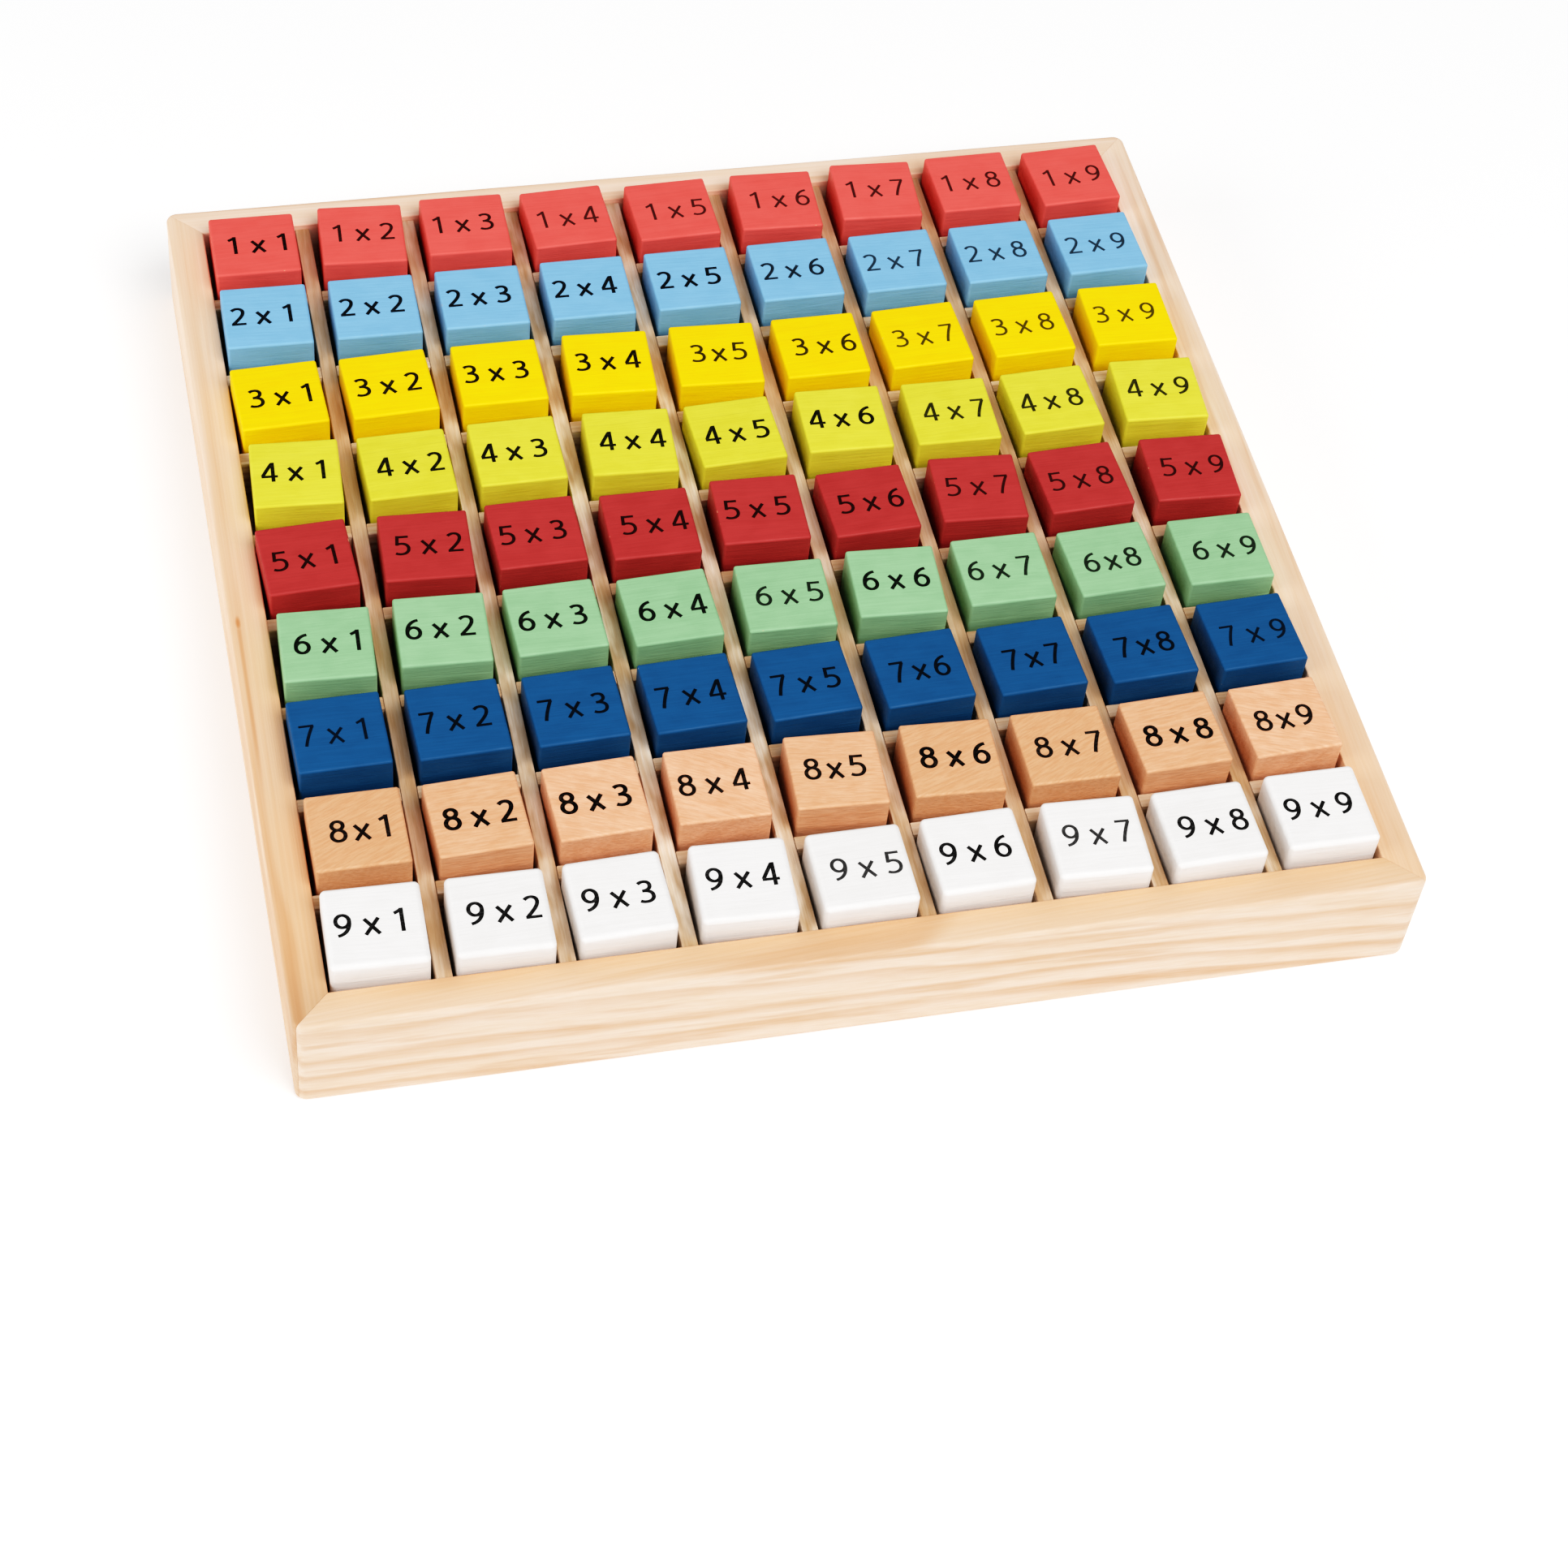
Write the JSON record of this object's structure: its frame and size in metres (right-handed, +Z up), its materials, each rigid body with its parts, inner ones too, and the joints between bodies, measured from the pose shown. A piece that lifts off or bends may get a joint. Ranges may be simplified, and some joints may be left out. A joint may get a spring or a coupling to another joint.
{
  "type": "multiplication board",
  "caption": "Square wooden tray with a mitred frame and a slat lattice, holding loose painted blocks in colour-coded rows, each printed with a times-table sum.",
  "frame": {"origin": "centre of the tray's footprint, on the table", "axes": "+X to the right along a row, +Y from the ninth row to the first, +Z up"},
  "size_m": [0.2366, 0.2366, 0.0312],
  "materials": {
    "frame_pine": "pale pine, sanded, satin lacquer",
    "slat_wood": "thin sawn slats, bare",
    "panel_ply": "thin plywood, bare",
    "coral_paint": "coral red satin paint on wood",
    "sky_paint": "light blue satin paint on wood",
    "yellow_paint": "yellow satin paint on wood",
    "lime_paint": "lime satin paint on wood",
    "crimson_paint": "dark red satin paint on wood",
    "mint_paint": "mint green satin paint on wood",
    "navy_paint": "dark blue satin paint on wood",
    "bare_block_wood": "sanded hardwood, fine grain, satin lacquer",
    "white_paint": "white satin paint on wood",
    "black_ink": "matt black screen print"
  },
  "bodies": {
    "root": {"base_panel": "panel_ply", "frame_front": "frame_pine", "frame_back": "frame_pine", "frame_left": "frame_pine", "frame_right": "frame_pine", "long_slat_1": "slat_wood", "long_slat_2": "slat_wood", "long_slat_3": "slat_wood", "long_slat_4": "slat_wood", "long_slat_5": "slat_wood", "long_slat_6": "slat_wood", "long_slat_7": "slat_wood", "long_slat_8": "slat_wood", "cross_slat_1": "slat_wood", "cross_slat_2": "slat_wood", "cross_slat_3": "slat_wood", "cross_slat_4": "slat_wood", "cross_slat_5": "slat_wood", "cross_slat_6": "slat_wood", "cross_slat_7": "slat_wood", "cross_slat_8": "slat_wood", "row_1_blocks": "coral_paint", "row_2_blocks": "sky_paint", "row_3_blocks": "yellow_paint", "row_4_blocks": "lime_paint", "row_5_blocks": "crimson_paint", "row_6_blocks": "mint_paint", "row_7_blocks": "navy_paint", "row_8_blocks": "bare_block_wood", "row_9_blocks": "white_paint", "row_1_sums": "black_ink", "row_2_sums": "black_ink", "row_3_sums": "black_ink", "row_4_sums": "black_ink", "row_5_sums": "black_ink", "row_6_sums": "black_ink", "row_7_sums": "black_ink", "row_8_sums": "black_ink", "row_9_sums": "black_ink"}
  },
  "joints": []
}
